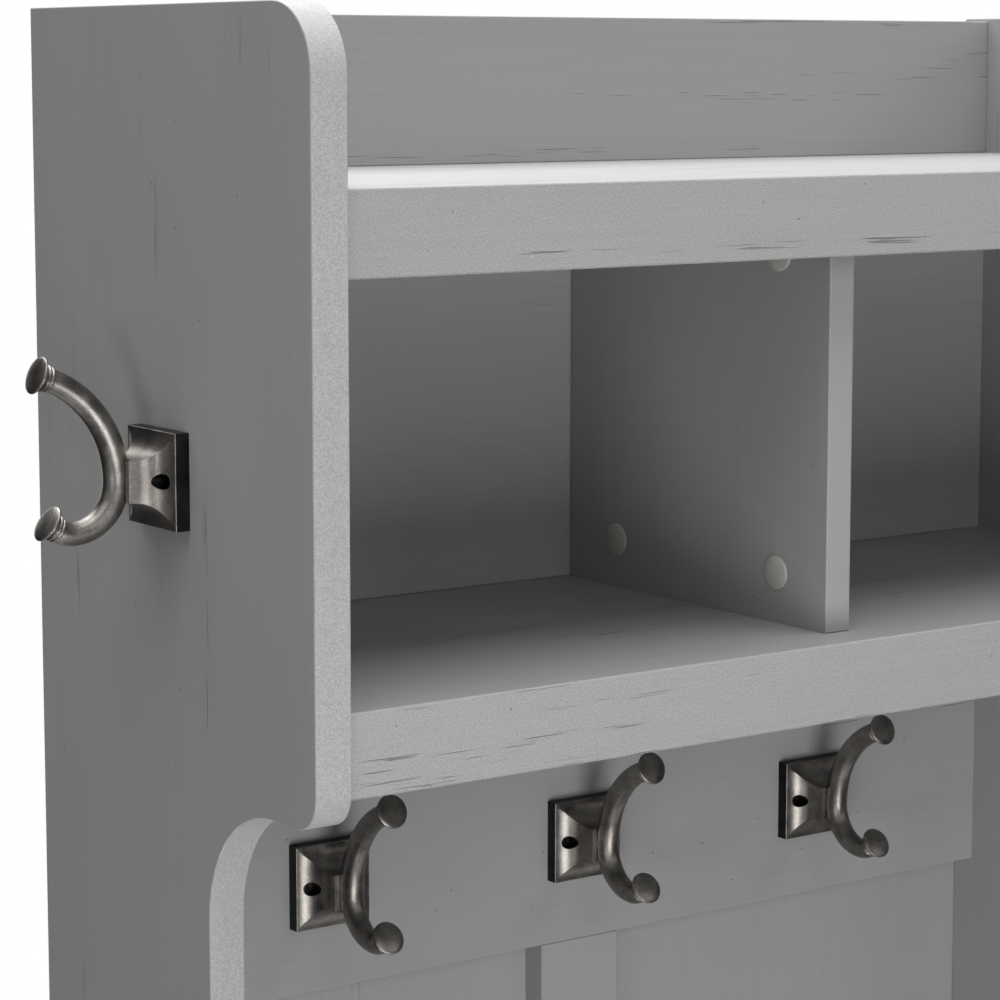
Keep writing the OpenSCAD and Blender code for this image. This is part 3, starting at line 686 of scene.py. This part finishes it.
def eased(node, width):
    """Welds the node's triangles back into flat faces and rounds every sharp edge by width."""
    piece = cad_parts[node]
    weld = piece.modifiers.new("weld", "WELD")
    weld.merge_threshold = 0.001 * MM
    flat = piece.modifiers.new("flat", "DECIMATE")
    flat.decimate_type = "DISSOLVE"
    flat.angle_limit = math.radians(1)
    round_edges = piece.modifiers.new("ease", "BEVEL")
    round_edges.width = width
    round_edges.segments = 3
    round_edges.limit_method = "ANGLE"
    round_edges.angle_limit = math.radians(40)
    round_edges.use_clamp_overlap = False
    smooth_by_angle(piece)


def coat(node, material):
    """Gives the node one material on every face."""
    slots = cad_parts[node].data.materials
    slots.clear()
    slots.append(material)


SIDE_PANELS = ["left_side_panel", "right_side_panel"]
DIVIDERS = ["cubby_divider", "bench_divider"]
SHELF_BOARDS = ["left_shoe_shelf", "right_shoe_shelf", "bench_bottom"]
BACK_BOARDS = ["cubby_back", "hook_rail", "toe_kick", "rear_base_rail"]
SKINS = ["left_hutch_skin", "right_hutch_skin", "bench_skin"]
SHELF_PAIRS = [
    ("top_shelf", "top_shelf_rail"),
    ("cubby_floor", "cubby_floor_rail"),
    ("bench_seat", "bench_seat_rail"),
]
ZINC_NODES = [
    "cam_locks", "cam_dowels", "back_nails", "shelf_pins", "left_wall_bracket", "right_wall_bracket",
]
DARK_NODES = ["hook_plate_screws", "hook_arm_screws", "bracket_screws"]
# How much the sharp corners of each kind of board are eased
THICK_EASE = 0.9 * MM
BOARD_EASE = 0.7 * MM
SHEET_EASE = 0.3 * MM


def dress_boards():
    side_paint = painted_wood("painted_side", "Z", "X", wear=0.1, peel_and_painted_glints="edges")
    divider_paint = painted_wood("painted_divider", "Z", "X", wear=0.1)
    stile = painted_wood("painted_stile", "Z", "Y")
    shelf_paint = painted_wood("painted_shelf", "X", "Z")
    back_paint = painted_wood("painted_back", "X", "Y", wear=0.1)
    worn = painted_wood("painted_worn_back", "X", "Y", wear=0.8)
    front = painted_wood("painted_rail", "X", "Y", wear=0.5, peel_and_painted_glints="all")
    boards = [
        (SIDE_PANELS, side_paint, THICK_EASE),
        (DIVIDERS, divider_paint, THICK_EASE),
        (["centre_stile"], stile, BOARD_EASE),
        (SHELF_BOARDS, shelf_paint, BOARD_EASE),
        (BACK_BOARDS, back_paint, BOARD_EASE),
        (["tray_back"], worn, BOARD_EASE),
        (SKINS, hardboard(), SHEET_EASE),
    ]
    for nodes, material, width in boards:
        for node in nodes:
            eased(node, width)
            coat(node, material)
    for shelf, rail in SHELF_PAIRS:
        mitred_pair(shelf, rail, shelf_paint, front)


def dress_hooks():
    metal = pewter("antique_pewter", (0.16, 0.15, 0.14, 1), (0.36, 0.336, 0.308, 1))
    # A near-black pewter that paints shade on the plates' sides and in their screw wells
    painted_shade_pewter = pewter("near_black_shade_pewter", (0.012, 0.012, 0.012, 1), (0.04, 0.039, 0.037, 1))
    shape = drilled_plate()
    for hook in HOOKS:
        hook_plate(hook, shape, metal, painted_shade_pewter)
        hook_arm(hook, metal)


def dress_hardware():
    finishes = [
        (ZINC_NODES, zinc()),
        (DARK_NODES, dark_steel()),
        (["cam_covers"], cover_plastic()),
        (["wood_dowels"], beech()),
        ([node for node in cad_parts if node.endswith("_glide")], glide_plastic()),
    ]
    for nodes, material in finishes:
        for node in nodes:
            coat(node, material)
            smooth_by_angle(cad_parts[node])


# ---------- studio ----------
# How bright the white surround is as a light
SKY_LIGHT = 0.03
# The point that every soft box faces
AIM = Vector((0, 0, 1.35))


def white_surround():
    """White to the camera, softer as a light."""
    world = bpy.data.worlds.new("studio")
    world.use_nodes = True
    bpy.context.scene.world = world
    nodes = world.node_tree.nodes
    path = nodes.new("ShaderNodeLightPath")
    strength = nodes.new("ShaderNodeMapRange")
    strength.inputs["To Min"].default_value = SKY_LIGHT
    strength.inputs["To Max"].default_value = 1.0
    world.node_tree.links.new(path.outputs["Is Camera Ray"], strength.inputs["Value"])
    world.node_tree.links.new(strength.outputs["Result"], nodes["Background"].inputs["Strength"])
    nodes["Background"].inputs["Color"].default_value = (1, 1, 1, 1)


def soft_light(name, place, size, power):
    """A square area light that faces the aim point and isn't seen itself."""
    lamp = bpy.data.lights.new(name, "AREA")
    lamp.shape = "SQUARE"
    lamp.size = size
    lamp.energy = power
    light = bpy.data.objects.new(name, lamp)
    light.location = place
    light.rotation_euler = (AIM - Vector(place)).to_track_quat("-Z", "Y").to_euler()
    light.visible_camera = False
    bpy.context.scene.collection.objects.link(light)


# Name, place, side length and watts of each soft box
SOFT_BOXES = [
    ("overhead", (0, -0.3, 3.6), 2.0, 50),
    ("overhead_back", (0, 1.5, 3.6), 2.0, 92),
    ("overhead_left", (-1.5, -0.5, 3.6), 2.0, 24),
    ("overhead_right", (2.0, -0.5, 3.6), 2.0, 28),
    ("front_low", (-0.5, -1.5, 0.8), 0.8, 17),
    ("front_high", (-0.3, -1.8, 2.4), 0.8, 6),
    ("front_left", (-2.0, -3.0, 2.0), 1.5, 6),
    ("front_right_key", (1.4, -2.2, 2.3), 0.6, 5),
    ("left_fill", (-3.0, 0, 1.6), 2.0, 5),
    ("left_key", (-2.7, -1.5, 1.2), 0.6, 11),
    ("right_fill", (3.2, 0.7, 1.3), 2.0, 14),
    ("back_fill", (0.4, 3.6, 1.3), 2.0, 20),
]


def floor():
    mesh = bpy.data.meshes.new("floor")
    corners = [(-1, -1), (1, -1), (1, 1), (-1, 1)]
    mesh.from_pydata([(FLOOR_HALF * x, FLOOR_HALF * y, 0) for x, y in corners], [], [(0, 1, 2, 3)])
    mesh.materials.append(pale_floor())
    ground = bpy.data.objects.new("floor", mesh)
    bpy.context.scene.collection.objects.link(ground)


# Camera: place in metres, degrees to the left of the front and below level, and focal length in mm
VIEW_PLACE = (-1.0134, -1.1837, 1.6918)
VIEW_LEFT = 35.07
VIEW_DOWN = 7.22
VIEW_LENS = 109.46
VIEW_SHIFT = -0.05


def camera():
    """The photo's viewing angle: from the left front, a little below the top of the object."""
    lens = bpy.data.cameras.new("photo_view")
    lens.sensor_width = 36
    lens.lens = VIEW_LENS
    lens.shift_y = VIEW_SHIFT
    lens.clip_end = 50
    view = bpy.data.objects.new("photo_view", lens)
    view.location = VIEW_PLACE
    view.rotation_euler = (math.radians(90 - VIEW_DOWN), 0, math.radians(-VIEW_LEFT))
    bpy.context.scene.collection.objects.link(view)
    bpy.context.scene.camera = view


def studio():
    white_surround()
    for box in SOFT_BOXES:
        soft_light(*box)
    floor()
    camera()
    bpy.context.scene.view_settings.view_transform = "Standard"


dress_boards()
dress_hooks()
dress_hardware()
studio()

bpy.context.view_layer.update()
